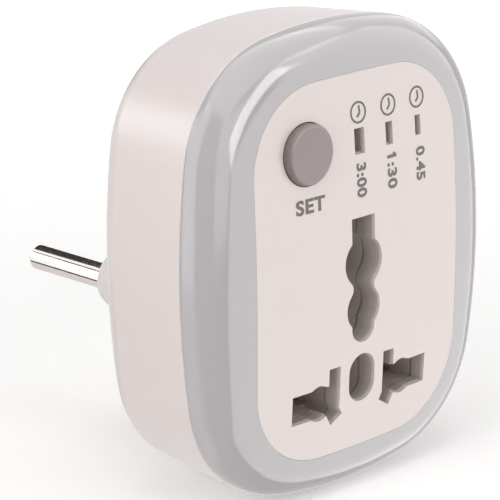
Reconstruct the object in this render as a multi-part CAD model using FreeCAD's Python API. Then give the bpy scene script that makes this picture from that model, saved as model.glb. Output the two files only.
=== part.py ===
import FreeCAD, Part
import math
import os

from FreeCAD import Vector

# A plug in timer switch: two round plug pins behind, a universal outlet, a round button and
# three time slots in front. Lengths are millimetres. X runs to the right of someone who
# faces it, Y from its face to the wall and Z up. The origin lies on the flat end of the
# plug boss, halfway between the pins. Depths are counted from the crown of the face.

# Case outline where the rear shell meets the bezel
case_width = 59.8
case_height = 72.0
case_side_radius = 127.0
case_end_radius = 74.0
case_corner_radius = 19.4
case_centre_above_pins = 9.9

# Outline of the face plate, inside the front band of the bezel
side_band = 8.45
end_band = 7.05
plate_side_radius = 900.0
plate_end_radius = 316.0
plate_corner_radius = 13.0

# Depths behind the crown of the face
seam_depth = 8.1
rear_face_depth = 27.9
boss_end_depth = 46.5

# Domed face
face_radius = 290.0
shoulder_radius = 5.4
face_plate_thickness = 0.6
adhesive_gap = 0.05
plate_edge_gap = 0.1

# Rear shell
shell_wall = 2.2
shell_draft = 0.073
rear_edge_radius = 4.7
rear_inner_radius = 2.4
seam_edge_radius = 0.25
boss_root_width = 39.0
boss_root_height = 23.0
boss_end_width = 25.0
boss_end_height = 8.4
boss_wall = 2.0
boss_rim_radius = 0.8

# Bezel ring
bezel_wall = 2.2
ledge_depth = 4.4
ledge_width = 1.5
ledge_thickness = 1.5
tongue_clearance = 0.1
tongue_thickness = 1.2
tongue_length = 2.5

# Front cover behind the face plate
cover_back_depth = 3.6
cover_rim_width = 1.3
aperture_step = 0.15

# Plug pins
pin_spacing = 19.0
pin_radius = 2.0
pin_length = 19.0
pin_tip_radius = 1.7
pin_root_radius = 2.3
pin_flange_radius = 3.2
pin_flange_thickness = 1.5
pin_seat_depth = 35.5
pin_tail_radius = 1.5
pin_tail_from_wall = 4.3
pin_root_clearance = 0.03

# Clamp that keeps the pins in the boss
clamp_thickness = 2.0
clamp_side_clearance = 0.6
clamp_hole_clearance = 0.15
clamp_screw_length = 9.0

# Outlet apertures, from the line on which the live and neutral holes lie
outlet_below_pins = 10.1
slot_outer_x = 14.4
slot_inner_x = 6.8
slot_height = 4.6
round_hole_x = 8.9
round_hole_radius = 2.8
blade_inner_x = 4.65
blade_outer_x = 7.0
blade_top = 4.95
blade_bottom = -1.5
foot_width = 2.7
foot_angle = 30.0
foot_end_x = 5.17
foot_end_z = -3.43
foot_length = 4.6
earth_top = 27.25
earth_half_width = 2.45
earth_upper_z = 20.3
earth_upper_radius = 3.93
earth_lower_z = 13.05
earth_lower_radius = 3.5
earth_waist_radius = 1.5
earth_end_z = 10.1
earth_end_radius = 2.4
oval_half_width = 2.75
oval_low_z = -1.75
oval_high_z = 5.85

# Outlet moulding with its wells, and the base that closes it
socket_front_gap = 0.4
socket_split_depth = 22.5
socket_wall = 1.35
socket_lobe_half_width = 9.3
socket_lobe_bottom = -6.1
tower_half_width = 5.6
tower_top = 29.2
socket_corner_radius = 1.2
socket_post_gap = 0.1
contact_room_depth = 8.0
contact_room_side = 0.5
contact_room_inner_x = 4.15
earth_recess = 1.9

# Spring contacts
contact_thickness = 0.5
contact_gap = 4.3
contact_front_depth = 9.5
contact_leaf_inner_x = 8.2
contact_leaf_outer_x = 14.5
contact_blade_top = 4.6
contact_tail_x = 11.1
contact_tail_width = 5.4
contact_tail_past_wire = 1.1
contact_tail_z = 4.6
contact_slot_clearance = 0.2

# Screws through the rear shell
post_from_side = 15.4
post_from_end = 8.4
post_radius = 3.8
post_front_depth = 11.0
post_hole_radius = 1.5
screw_head_seat_depth = 23.6
screw_head_radius = 2.4
screw_head_height = 1.7
screw_bore_radius = 2.8
screw_shank_radius = 1.25
screw_length = 17.0
cover_boss_radius = 2.8
cover_boss_relief = 0.15
thread_clearance = 0.03
cross_width = 0.7
cross_span = 2.6
cross_depth = 0.9

# Button and the switch under it
button_x = -10.9
button_below_top = 17.35
button_radius = 4.6
button_hole_clearance = 0.15
button_proud = 1.1
button_edge_radius = 0.7
button_flange_radius = 5.8
button_flange_thickness = 1.0
button_flange_gap = 0.15
button_stem_radius = 1.7
plunger_gap = 0.05
button_travel = 0.5
tact_size = 6.0
tact_height = 3.5
tact_plunger_radius = 1.6
tact_plunger_proud = 0.9
tact_plunger_inside = 1.6
tact_bore_clearance = 0.05

# Time slots and the lamps behind them: name, x, width and height of each slot
lamp_slots = [
    ("led_long", -0.2, 2.1, 3.9),
    ("led_middle", 6.25, 1.5, 3.5),
    ("led_short", 12.75, 1.25, 3.1),
]
lamp_below_top = 17.3
lamp_radius = 1.5
lamp_height = 5.3
lamp_rim_radius = 1.9
lamp_rim_height = 1.0

# Control board, an arch round the earth well
board_front_depth = 10.0
board_thickness = 1.6
board_width = 46.0
board_post_gap = 0.5
board_bottom = 1.5
arch_half_width = 7.2
arch_top = 20.2
board_corner_radius = 1.5
board_upper_post_x = 19.0
board_upper_post_below_top = 3.7
board_lower_post_x = 19.5
board_lower_post_above_bottom = 3.0
board_post_radius = 2.6
board_hole_radius = 1.25
board_screw_radius = 1.1
board_screw_length = 7.0
board_screw_head_radius = 2.0
board_screw_head_height = 1.2

# Parts on the back of the board: places from its top edge or above the pins, then sizes
relay_x = -6.0
relay_below_top = 6.6
relay_size = (18.4, 10.4, 12.6)
dropper_place = (-15.3, 16.8)
dropper_size = (13.0, 6.4, 11.4)
varistor_place = (-15.2, 11.3)
varistor_radius = 4.6
varistor_thickness = 3.6
fuse_place = (-13.2, 4.6)
fuse_size = (6.0, 4.2, 7.6)
smoothing_x = 9.4
smoothing_below_top = 6.6
smoothing_radius = 4.0
smoothing_height = 11.6
bridge_x = 17.8
bridge_below_top = 10.7
bridge_size = (8.4, 6.2, 3.3)
chip_place = (15.6, 14.6)
chip_size = (9.6, 6.4, 3.4)
chip_pin_pitch = 2.54
chip_pins_per_side = 4
transistor_place = (9.6, 4.4)
transistor_radius = 2.3
transistor_height = 5.0
transistor_flat = 1.2
resistor_x = 8.7
resistor_middles = [17.0, 10.0]
resistor_radius = 0.9
resistor_length = 4.4
resistor_lead_radius = 0.3
part_standoff = 0.4
part_edge_radius = 0.5
lead_radius = 0.35

# Insulated wires
wire_radius = 0.9
wire_bend_radius = 1.5
wire_lane_before_tail = 3.1
board_wire_x = 12.6
board_wire_above_pins = 8.05
board_wire_rise = 5.2
board_wire_rise_length = 6.9
line_in_x = -8.7
line_in_above_pins = 3.2
line_in_straight = 6.0
line_in_rise_length = 5.0

tip = 0.01
overshoot = 5.0

case_outline = (case_width, case_height, case_side_radius, case_end_radius, case_corner_radius)
plate_width = case_width - 2 * side_band
plate_height = case_height - 2 * end_band
plate_outline = (plate_width, plate_height, plate_side_radius, plate_end_radius, plate_corner_radius)
case_top = case_centre_above_pins + case_height / 2
button_above_pins = case_top - button_below_top
lamp_above_pins = case_top - lamp_below_top
rear_inner_depth = rear_face_depth - shell_wall
outlet_z = -outlet_below_pins
pin_xs = [-pin_spacing / 2, pin_spacing / 2]
post_x = case_width / 2 - post_from_side
post_z = case_height / 2 - post_from_end
post_places = [
    (sx * post_x, case_centre_above_pins + sz * post_z) for sx in (-1, 1) for sz in (-1, 1)
]
board_back_depth = board_front_depth + board_thickness
board_top = case_centre_above_pins + post_z - post_radius - board_post_gap
board_posts = [
    (side * board_upper_post_x, board_top - board_upper_post_below_top) for side in (-1, 1)
]
board_posts += [
    (side * board_lower_post_x, board_bottom + board_lower_post_above_bottom) for side in (-1, 1)
]
relay_place = (relay_x, board_top - relay_below_top)
smoothing_place = (smoothing_x, board_top - smoothing_below_top)
bridge_place = (bridge_x, board_top - bridge_below_top)
clamp_back_depth = pin_seat_depth - pin_flange_thickness
clamp_front_depth = clamp_back_depth - clamp_thickness
clamp_screw_end_depth = clamp_front_depth + clamp_screw_length
tail_end_depth = rear_inner_depth + pin_tail_from_wall
wire_lane_depth = tail_end_depth - wire_lane_before_tail
contact_tail_end_depth = wire_lane_depth + contact_tail_past_wire
flange_front_depth = cover_back_depth + button_flange_gap
tact_front_depth = board_front_depth - tact_height
plunger_front_depth = tact_front_depth - tact_plunger_proud
line_x, neutral_x = pin_xs


def place(depth):
    """Y of a depth behind the crown of the face."""
    return depth - boss_end_depth


def rod(x, z, radius, front, back):
    """Cylinder along Y between two depths."""
    return Part.makeCylinder(radius, back - front, Vector(x, place(front), z), Vector(0, 1, 0))


def block(x0, x1, z0, z1, front, back):
    """Box between two depths."""
    return Part.makeBox(x1 - x0, back - front, z1 - z0, Vector(x0, place(front), z0))


def wire_of(corners, depth):
    """Closed wire of arcs: every second point is an arc's middle."""
    points = [Vector(x, place(depth), z) for x, z in corners]
    arcs = [Part.Arc(*points[i:i + 3]).toShape() for i in range(0, len(points) - 2, 2)]
    return Part.Wire(arcs)


def outline_wire(outline, inset, depth):
    """Eight tangent arcs: two sides, two ends and four corners, drawn in by the inset."""
    width, height, side_radius, end_radius, corner_radius = outline
    w = width / 2 - inset
    h = height / 2 - inset
    side_centre = w - side_radius + inset
    end_centre = h - end_radius + inset
    corner = corner_radius - inset
    to_side = side_radius - corner_radius
    to_end = end_radius - corner_radius
    span = math.hypot(side_centre, end_centre)
    along = (to_side ** 2 - to_end ** 2 + span ** 2) / (2 * span)
    across = math.sqrt(to_side ** 2 - along ** 2)
    ux = -side_centre / span
    uz = end_centre / span
    cx = side_centre + along * ux - across * uz
    cz = along * uz + across * ux
    if cx < 0 or cz < 0:
        cx = side_centre + along * ux + across * uz
        cz = along * uz - across * ux
    side_angle = math.atan2(cz, cx - side_centre)
    end_angle = math.atan2(cz - end_centre, cx)
    middle_angle = (side_angle + end_angle) / 2
    x1 = cx + corner * math.cos(side_angle)
    z1 = cz + corner * math.sin(side_angle)
    xm = cx + corner * math.cos(middle_angle)
    zm = cz + corner * math.sin(middle_angle)
    x2 = cx + corner * math.cos(end_angle)
    z2 = cz + corner * math.sin(end_angle)
    ring = [(x1, -z1), (w, 0), (x1, z1), (xm, zm), (x2, z2), (0, h), (-x2, z2), (-xm, zm)]
    ring += [(-x1, z1), (-w, 0), (-x1, -z1), (-xm, -zm), (-x2, -z2), (0, -h), (x2, -z2), (xm, -zm)]
    ring.append(ring[0])
    return wire_of([(x, z + case_centre_above_pins) for x, z in ring], depth)


def prism(outline, inset, front, back):
    face = Part.Face(outline_wire(outline, inset, front))
    return face.extrude(Vector(0, back - front, 0))


def tapered(outline, front_inset, back_inset, front, back):
    wires = [outline_wire(outline, front_inset, front), outline_wire(outline, back_inset, back)]
    return Part.makeLoft(wires, True, True)


def ring_prism(outline, outer_inset, inner_inset, front, back):
    outer = prism(outline, outer_inset, front, back)
    return outer.cut(prism(outline, inner_inset, front - overshoot, back + overshoot))


def dome(offset):
    """Ball whose crown lies at the given depth."""
    centre = Vector(0, place(face_radius), case_centre_above_pins)
    return Part.makeSphere(face_radius - offset, centre)


def stadium_wire(width, height, depth):
    r = height / 2
    x = width / 2 - r
    points = [(-x, r), (x, r), (x + r, 0), (x, -r), (-x, -r), (-x - r, 0)]
    p = [Vector(px, place(depth), pz) for px, pz in points]
    edges = [
        Part.makeLine(p[0], p[1]),
        Part.Arc(p[1], p[2], p[3]).toShape(),
        Part.makeLine(p[3], p[4]),
        Part.Arc(p[4], p[5], p[0]).toShape(),
    ]
    return Part.Wire(edges)


def boss_size(depth):
    """Width and height of the plug boss at a depth."""
    share = (depth - rear_face_depth) / (boss_end_depth - rear_face_depth)
    width = boss_root_width + share * (boss_end_width - boss_root_width)
    height = boss_root_height + share * (boss_end_height - boss_root_height)
    return width, height


def boss_body(inset, front, back):
    wires = []
    for depth in (front, back):
        width, height = boss_size(depth)
        wires.append(stadium_wire(width - 2 * inset, height - 2 * inset, depth))
    return Part.makeLoft(wires, True, True)


def edges_at(shape, depth):
    """Edges that lie wholly at one depth."""
    y = place(depth)
    found = []
    for edge in shape.Edges:
        box = edge.BoundBox
        if abs(box.YMin - y) < tip and abs(box.YMax - y) < tip:
            found.append(edge)
    return found


def upright_edges(shape):
    """Straight edges along Y."""
    found = []
    for edge in shape.Edges:
        box = edge.BoundBox
        if box.YLength > tip and box.XLength < tip and box.ZLength < tip:
            found.append(edge)
    return found


def mirrored(shape):
    return shape.mirror(Vector(0, 0, 0), Vector(1, 0, 0))


def side_aperture(grow, front, back):
    """Hole for one live or neutral pin, on the +X side."""
    half = slot_height / 2 + grow
    slot = block(slot_inner_x, slot_outer_x + grow, outlet_z - half, outlet_z + half, front, back)
    blade = block(
        blade_inner_x - grow, blade_outer_x + grow,
        outlet_z + blade_bottom, outlet_z + blade_top + grow, front, back,
    )
    hole = rod(round_hole_x, outlet_z, round_hole_radius + grow, front, back)
    foot = block(-foot_width / 2 - grow, foot_width / 2 + grow, -grow, foot_length, front, back)
    foot.rotate(Vector(0, 0, 0), Vector(0, 1, 0), foot_angle)
    foot.translate(Vector(foot_end_x, 0, outlet_z + foot_end_z))
    return slot.fuse([blade, hole, foot]).removeSplitter()


def earth_aperture(grow, front, back):
    """Wavy earth slot: a flat top, two swells, a waist and a round end."""
    half = earth_half_width + grow
    top = earth_top + grow
    upper = earth_upper_radius + grow
    lower = earth_lower_radius + grow
    waist = earth_waist_radius - grow
    end = earth_end_radius + grow
    shoulder_z = earth_upper_z + math.sqrt(upper ** 2 - half ** 2)
    reach_up = upper + waist
    reach_down = lower + waist
    gap = earth_upper_z - earth_lower_z
    waist_z = earth_lower_z + (gap ** 2 + reach_down ** 2 - reach_up ** 2) / (2 * gap)
    waist_x = math.sqrt(reach_down ** 2 - (waist_z - earth_lower_z) ** 2)
    up_x = waist_x * upper / reach_up
    up_z = earth_upper_z + (waist_z - earth_upper_z) * upper / reach_up
    down_x = waist_x * lower / reach_down
    down_z = earth_lower_z + (waist_z - earth_lower_z) * lower / reach_down
    drop = earth_lower_z - earth_end_z
    meet = (drop ** 2 + end ** 2 - lower ** 2) / (2 * drop)
    meet_x = math.sqrt(end ** 2 - meet ** 2)
    meet_z = earth_end_z + meet

    def at(x, z):
        return Vector(x, place(front), outlet_z + z)

    def half_side(side):
        return [
            Part.makeLine(at(side * half, top), at(side * half, shoulder_z)),
            Part.Arc(at(side * half, shoulder_z), at(side * upper, earth_upper_z), at(side * up_x, up_z)).toShape(),
            Part.Arc(at(side * up_x, up_z), at(side * (waist_x - waist), waist_z), at(side * down_x, down_z)).toShape(),
            Part.Arc(at(side * down_x, down_z), at(side * lower, earth_lower_z), at(side * meet_x, meet_z)).toShape(),
        ]

    right = half_side(1)
    left = half_side(-1)
    end_arc = Part.Arc(at(meet_x, meet_z), at(0, earth_end_z - end), at(-meet_x, meet_z)).toShape()
    top_line = Part.makeLine(at(-half, top), at(half, top))
    loop = Part.Wire([top_line] + right + [end_arc] + left[::-1])
    return Part.Face(loop).extrude(Vector(0, back - front, 0))


def oval_aperture(grow, front, back):
    r = oval_half_width + grow
    low = outlet_z + oval_low_z + oval_half_width
    high = outlet_z + oval_high_z - oval_half_width
    straight = block(-r, r, low, high, front, back)
    ends = [rod(0, low, r, front, back), rod(0, high, r, front, back)]
    return straight.fuse(ends).removeSplitter()


def outlet_apertures(grow, front, back):
    side = side_aperture(grow, front, back)
    earth = earth_aperture(grow, front, back)
    return [side, mirrored(side), earth, oval_aperture(grow, front, back)]


def lamp_apertures(grow, front, back):
    cuts = []
    for _, x, width, height in lamp_slots:
        w = width / 2 + grow
        h = height / 2 + grow
        cuts.append(block(x - w, x + w, lamp_above_pins - h, lamp_above_pins + h, front, back))
    return cuts


def cross_recess(x, z, depth, into):
    """Cross slot in a screw head; the sign of into is the way it is cut."""
    front = min(depth, depth + into)
    back = max(depth, depth + into)
    s = cross_span / 2
    w = cross_width / 2
    bars = block(x - s, x + s, z - w, z + w, front, back)
    return bars.fuse(block(x - w, x + w, z - s, z + s, front, back))


def make_rear_shell():
    end_inset = shell_draft * (rear_face_depth - seam_depth)
    outer = tapered(case_outline, 0, end_inset, seam_depth, rear_face_depth)
    outer = outer.makeFillet(rear_edge_radius, edges_at(outer, rear_face_depth))
    outer = outer.makeFillet(seam_edge_radius, edges_at(outer, seam_depth))
    boss = boss_body(0, rear_face_depth - shell_wall / 2, boss_end_depth)
    boss = boss.makeFillet(boss_rim_radius, edges_at(boss, boss_end_depth))
    shell = outer.fuse(boss)
    back_inset = shell_wall + shell_draft * (rear_inner_depth - seam_depth)
    room = tapered(case_outline, shell_wall, back_inset, seam_depth, rear_inner_depth)
    room = room.makeFillet(rear_inner_radius, edges_at(room, rear_inner_depth))
    hollow = boss_body(boss_wall, rear_inner_depth - shell_wall / 2, pin_seat_depth)
    shell = shell.cut([room, hollow])
    posts = [rod(x, z, post_radius, post_front_depth, rear_inner_depth + tip) for x, z in post_places]
    posts += [
        rod(x, z, board_post_radius, board_back_depth, rear_inner_depth + tip)
        for x, z in board_posts
    ]
    shell = shell.fuse(posts)
    cuts = []
    for x, z in post_places:
        cuts.append(rod(x, z, post_hole_radius, post_front_depth - 1, rear_inner_depth))
        cuts.append(rod(x, z, screw_bore_radius, screw_head_seat_depth, rear_face_depth + 1))
    pilot = board_screw_radius + thread_clearance
    for x, z in board_posts:
        cuts.append(rod(x, z, pilot, board_back_depth - 1, board_front_depth + board_screw_length + 1))
    for x in pin_xs:
        cuts.append(rod(x, 0, pin_root_radius + pin_root_clearance, pin_seat_depth - 1, boss_end_depth + 1))
    clamp_pilot = screw_shank_radius + thread_clearance
    cuts.append(rod(0, 0, clamp_pilot, pin_seat_depth - 1, clamp_screw_end_depth + 1))
    return shell.cut(cuts).removeSplitter()


def make_bezel_ring():
    body = prism(case_outline, 0, -overshoot, seam_depth).common(dome(0))
    front_edges = [e for e in body.Edges if e.BoundBox.YMax < place(seam_depth) - 1]
    body = body.makeFillet(shoulder_radius, front_edges)
    body = body.makeFillet(seam_edge_radius / 2, edges_at(body, seam_depth))
    ledge_back = ledge_depth + ledge_thickness
    draft_run = shell_draft * tongue_length
    tongue_inset = shell_wall + draft_run + tongue_clearance
    tongue_back = seam_depth + tongue_length
    tongue = ring_prism(
        case_outline, tongue_inset, tongue_inset + tongue_thickness, ledge_back, tongue_back,
    )
    ring = body.cut(prism(plate_outline, -plate_edge_gap, -overshoot, ledge_depth))
    ring = ring.cut(prism(plate_outline, ledge_width, -overshoot, ledge_back + 1))
    ring = ring.cut(prism(case_outline, bezel_wall, ledge_back, seam_depth + 1))
    ring = ring.fuse(tongue)
    relief = cover_boss_radius + cover_boss_relief
    pockets = [rod(x, z, relief, cover_back_depth, tongue_back + tip) for x, z in post_places]
    return ring.cut(pockets).removeSplitter()


def make_face_plate():
    blank = prism(plate_outline, 0, -overshoot, seam_depth)
    plate = blank.common(dome(0)).cut(dome(face_plate_thickness))
    hole = button_radius + button_hole_clearance
    cuts = outlet_apertures(0, -overshoot, seam_depth)
    cuts += lamp_apertures(0, -overshoot, seam_depth)
    cuts.append(rod(button_x, button_above_pins, hole, -overshoot, seam_depth))
    return plate.cut(cuts)


def make_front_cover():
    blank = prism(plate_outline, 0, -overshoot, cover_back_depth)
    cover = blank.common(dome(face_plate_thickness + adhesive_gap))
    rim = ring_prism(plate_outline, 0, cover_rim_width, cover_back_depth - tip, ledge_depth)
    bosses = [
        rod(x, z, cover_boss_radius, cover_back_depth, post_front_depth) for x, z in post_places
    ]
    cover = cover.fuse([rim] + bosses)
    step = -aperture_step
    hole = button_radius + button_hole_clearance
    cuts = outlet_apertures(step, -overshoot, seam_depth)
    cuts += lamp_apertures(step, -overshoot, seam_depth)
    cuts.append(rod(button_x, button_above_pins, hole, -overshoot, seam_depth))
    pilot = screw_shank_radius + thread_clearance
    pilot_depth = screw_head_seat_depth - screw_length - 1
    cuts += [rod(x, z, pilot, pilot_depth, post_front_depth + 1) for x, z in post_places]
    return cover.cut(cuts).removeSplitter()


def socket_blank(front, back):
    """Outer form of the outlet moulding: pin block, lower lobe and earth tower."""
    side = slot_outer_x + socket_wall + contact_room_side
    low = outlet_z - slot_height / 2 - socket_wall
    high = outlet_z + blade_top + socket_wall + contact_room_side
    pins = block(-side, side, low, high, front, back)
    lobe = block(
        -socket_lobe_half_width, socket_lobe_half_width,
        outlet_z + socket_lobe_bottom, high, front, back,
    )
    tower = block(-tower_half_width, tower_half_width, low, outlet_z + tower_top, front, back)
    blank = pins.fuse([lobe, tower]).removeSplitter()
    blank = blank.makeFillet(socket_corner_radius, upright_edges(blank))
    clear = post_radius + socket_post_gap
    return blank.cut([rod(x, z, clear, front - 1, back + 1) for x, z in post_places])


def contact_room(front, back):
    low = outlet_z - contact_gap / 2 - contact_thickness - contact_slot_clearance
    high = outlet_z + blade_top + contact_room_side
    outer = slot_outer_x + contact_room_side
    return block(contact_room_inner_x, outer, low, high, front, back)


def make_socket_body():
    front = cover_back_depth + socket_front_gap
    body = socket_blank(front, socket_split_depth)
    cuts = outlet_apertures(-aperture_step, front - 1, contact_room_depth + tip)
    cuts.append(earth_aperture(-aperture_step, front - 1, socket_split_depth + 1))
    cuts.append(oval_aperture(-aperture_step, front - 1, socket_split_depth + 1))
    room = contact_room(contact_room_depth, socket_split_depth + 1)
    cuts += [room, mirrored(room)]
    return body.cut(cuts)


def make_socket_base():
    base = socket_blank(socket_split_depth, rear_inner_depth)
    slot = contact_tail_slot()
    cuts = [earth_aperture(-aperture_step, socket_split_depth - 1, socket_split_depth + earth_recess)]
    cuts += [slot, mirrored(slot)]
    return base.cut(cuts)


def contact_tail_slot():
    c = contact_slot_clearance
    half = contact_tail_width / 2 + c
    low = outlet_z + contact_tail_z - contact_thickness - c
    high = outlet_z + contact_tail_z + c
    x = contact_tail_x
    return block(x - half, x + half, low, high, socket_split_depth - 1, rear_inner_depth + 1)


def make_contact():
    """Spring contact on the +X side: two leaves for a flat pin, one for a blade, a web and a tail."""
    t = contact_thickness
    half = contact_gap / 2
    web_front = socket_split_depth - t
    inner = contact_leaf_inner_x
    outer = contact_leaf_outer_x
    upper = block(inner, outer, outlet_z + half, outlet_z + half + t, contact_front_depth, web_front)
    lower = block(inner, outer, outlet_z - half - t, outlet_z - half, contact_front_depth, web_front)
    blade_x = contact_room_inner_x + contact_slot_clearance
    blade = block(
        blade_x, blade_x + t,
        outlet_z - half, outlet_z + contact_blade_top, contact_front_depth, web_front,
    )
    web = block(blade_x, outer, outlet_z - half - t, outlet_z + contact_blade_top, web_front, socket_split_depth)
    half_tail = contact_tail_width / 2
    tail = block(
        contact_tail_x - half_tail, contact_tail_x + half_tail,
        outlet_z + contact_tail_z - t, outlet_z + contact_tail_z,
        web_front, contact_tail_end_depth,
    )
    return web.fuse([upper, lower, blade, tail]).removeSplitter()


def make_pin(x):
    """Plug pin: rounded free end, root in the boss, flange and solder tail."""
    flange_front = pin_seat_depth - pin_flange_thickness
    free = rod(x, 0, pin_radius, boss_end_depth, boss_end_depth + pin_length)
    free = free.makeFillet(pin_tip_radius, edges_at(free, boss_end_depth + pin_length))
    root = rod(x, 0, pin_root_radius, pin_seat_depth, boss_end_depth)
    flange = rod(x, 0, pin_flange_radius, flange_front, pin_seat_depth)
    tail = rod(x, 0, pin_tail_radius, tail_end_depth, flange_front)
    return free.fuse([root, flange, tail])


def make_pin_clamp():
    width, height = boss_size(clamp_back_depth)
    inset = 2 * (boss_wall + clamp_side_clearance)
    face = Part.Face(stadium_wire(width - inset, height - inset, clamp_front_depth))
    plate = face.extrude(Vector(0, clamp_thickness, 0))
    hole = pin_tail_radius + clamp_hole_clearance
    cuts = [rod(x, 0, hole, clamp_front_depth - 1, clamp_back_depth + 1) for x in pin_xs]
    cuts.append(rod(0, 0, post_hole_radius, clamp_front_depth - 1, clamp_back_depth + 1))
    return plate.cut(cuts)


def make_screw(x, z, seat, tip_depth, shank_radius, head_radius, head_height):
    """Pan head screw along Y; its head lies on the far side of the seat from its tip."""
    outward = 1 if seat > tip_depth else -1
    head_end = seat + outward * head_height
    head = rod(x, z, head_radius, min(seat, head_end), max(seat, head_end))
    head = head.makeFillet(head_height / 3, edges_at(head, head_end))
    shank = rod(x, z, shank_radius, min(seat, tip_depth), max(seat, tip_depth))
    shank = shank.makeChamfer(shank_radius / 2, edges_at(shank, tip_depth))
    recess = cross_recess(x, z, head_end, -outward * cross_depth)
    return head.fuse(shank).cut(recess)


def make_case_screws():
    end = screw_head_seat_depth - screw_length
    return Part.makeCompound([
        make_screw(x, z, screw_head_seat_depth, end, screw_shank_radius, screw_head_radius, screw_head_height)
        for x, z in post_places
    ])


def make_board_screws():
    end = board_front_depth + board_screw_length
    return Part.makeCompound([
        make_screw(
            x, z, board_front_depth, end,
            board_screw_radius, board_screw_head_radius, board_screw_head_height,
        )
        for x, z in board_posts
    ])


def make_clamp_screw():
    return make_screw(
        0, 0, clamp_front_depth, clamp_screw_end_depth,
        screw_shank_radius, screw_head_radius, screw_head_height,
    )


def face_depth_at(x, z):
    """Depth of the domed face at a place."""
    rise = z - case_centre_above_pins
    return face_radius - math.sqrt(face_radius ** 2 - x ** 2 - rise ** 2)


def make_button():
    front = face_depth_at(button_x, button_above_pins) - button_proud
    flange_back = flange_front_depth + button_flange_thickness
    cap = rod(button_x, button_above_pins, button_radius, front, flange_back)
    cap = cap.makeFillet(button_edge_radius, edges_at(cap, front))
    flange = rod(button_x, button_above_pins, button_flange_radius, flange_front_depth, flange_back)
    stem_end = plunger_front_depth - plunger_gap
    stem = rod(button_x, button_above_pins, button_stem_radius, flange_back, stem_end)
    return cap.fuse([flange, stem])


def make_tact_switch():
    half = tact_size / 2
    body = block(
        button_x - half, button_x + half, button_above_pins - half, button_above_pins + half,
        tact_front_depth, board_front_depth,
    )
    body = body.makeFillet(part_edge_radius, upright_edges(body))
    bore = tact_plunger_radius + tact_bore_clearance
    floor = tact_front_depth + tact_plunger_inside + button_travel + part_standoff
    return body.cut(rod(button_x, button_above_pins, bore, tact_front_depth - 1, floor))


def make_tact_plunger():
    end = tact_front_depth + tact_plunger_inside
    return rod(button_x, button_above_pins, tact_plunger_radius, plunger_front_depth, end)


def make_lamp(x):
    top = board_front_depth - lamp_height
    body = rod(x, lamp_above_pins, lamp_radius, top + lamp_radius, board_front_depth)
    cap = Part.makeSphere(lamp_radius, Vector(x, place(top + lamp_radius), lamp_above_pins))
    rim = rod(x, lamp_above_pins, lamp_rim_radius, board_front_depth - lamp_rim_height, board_front_depth)
    return body.fuse([cap, rim]).removeSplitter()


def make_control_board():
    half = board_width / 2
    board = block(-half, half, board_bottom, board_top, board_front_depth, board_back_depth)
    arch = block(
        -arch_half_width, arch_half_width, board_bottom - 1, arch_top,
        board_front_depth - 1, board_back_depth + 1,
    )
    board = board.cut(arch)
    board = board.makeFillet(board_corner_radius, upright_edges(board))
    holes = [
        rod(x, z, board_hole_radius, board_front_depth - 1, board_back_depth + 1)
        for x, z in board_posts
    ]
    return board.cut(holes)


def boxed_part(spot, size):
    """Box-shaped part on the back of the board, with rounded upright edges."""
    x, z = spot
    width, height, deep = size
    body = block(
        x - width / 2, x + width / 2, z - height / 2, z + height / 2,
        board_back_depth, board_back_depth + deep,
    )
    return body.makeFillet(part_edge_radius, upright_edges(body) + edges_at(body, board_back_depth + deep))


def make_varistor():
    x, z = varistor_place
    centre = place(board_back_depth + part_standoff + varistor_radius)
    start = Vector(x, centre, z - varistor_thickness / 2)
    disc = Part.makeCylinder(varistor_radius, varistor_thickness, start, Vector(0, 0, 1))
    disc = disc.makeFillet(part_edge_radius, disc.Edges[0:3:2])
    leads = [
        rod(x + side * varistor_radius / 2, z, lead_radius, board_back_depth, board_back_depth + varistor_radius)
        for side in (-1, 1)
    ]
    return disc.fuse(leads)


def make_smoothing_capacitor():
    x, z = smoothing_place
    end = board_back_depth + smoothing_height
    can = rod(x, z, smoothing_radius, board_back_depth, end)
    return can.makeFillet(part_edge_radius, edges_at(can, end))


def make_chip():
    body = boxed_part(chip_place, chip_size)
    x, z = chip_place
    first = x - chip_pin_pitch * (chip_pins_per_side - 1) / 2
    legs = []
    for index in range(chip_pins_per_side):
        leg_x = first + index * chip_pin_pitch
        for side in (-1, 1):
            edge = z + side * chip_size[1] / 2
            low = min(edge - side * lead_radius, edge + side * 2 * lead_radius)
            high = max(edge - side * lead_radius, edge + side * 2 * lead_radius)
            legs.append(block(
                leg_x - lead_radius, leg_x + lead_radius, low, high,
                board_back_depth, board_back_depth + chip_size[2] / 2,
            ))
    return body.fuse(legs)


def make_transistor():
    x, z = transistor_place
    end = board_back_depth + transistor_height
    body = rod(x, z, transistor_radius, board_back_depth, end)
    r = transistor_radius
    flat = block(x - r, x + r, z + transistor_flat, z + 2 * r, board_back_depth - 1, end + 1)
    return body.cut(flat)


def make_resistors():
    """Resistors that lie along Z on the back of the board, on their leads."""
    pieces = []
    centre = board_back_depth + resistor_radius
    reach = resistor_length / 2 + 3 * resistor_lead_radius
    foot = reach - resistor_lead_radius
    for middle in resistor_middles:
        start = Vector(resistor_x, place(centre), middle - resistor_length / 2)
        body = Part.makeCylinder(resistor_radius, resistor_length, start, Vector(0, 0, 1))
        start = Vector(resistor_x, place(centre), middle - reach)
        lead = Part.makeCylinder(resistor_lead_radius, 2 * reach, start, Vector(0, 0, 1))
        feet = [
            rod(resistor_x, middle + side * foot, resistor_lead_radius, board_back_depth, centre)
            for side in (-1, 1)
        ]
        pieces.append(body.fuse([lead] + feet))
    return Part.makeCompound(pieces)


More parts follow.
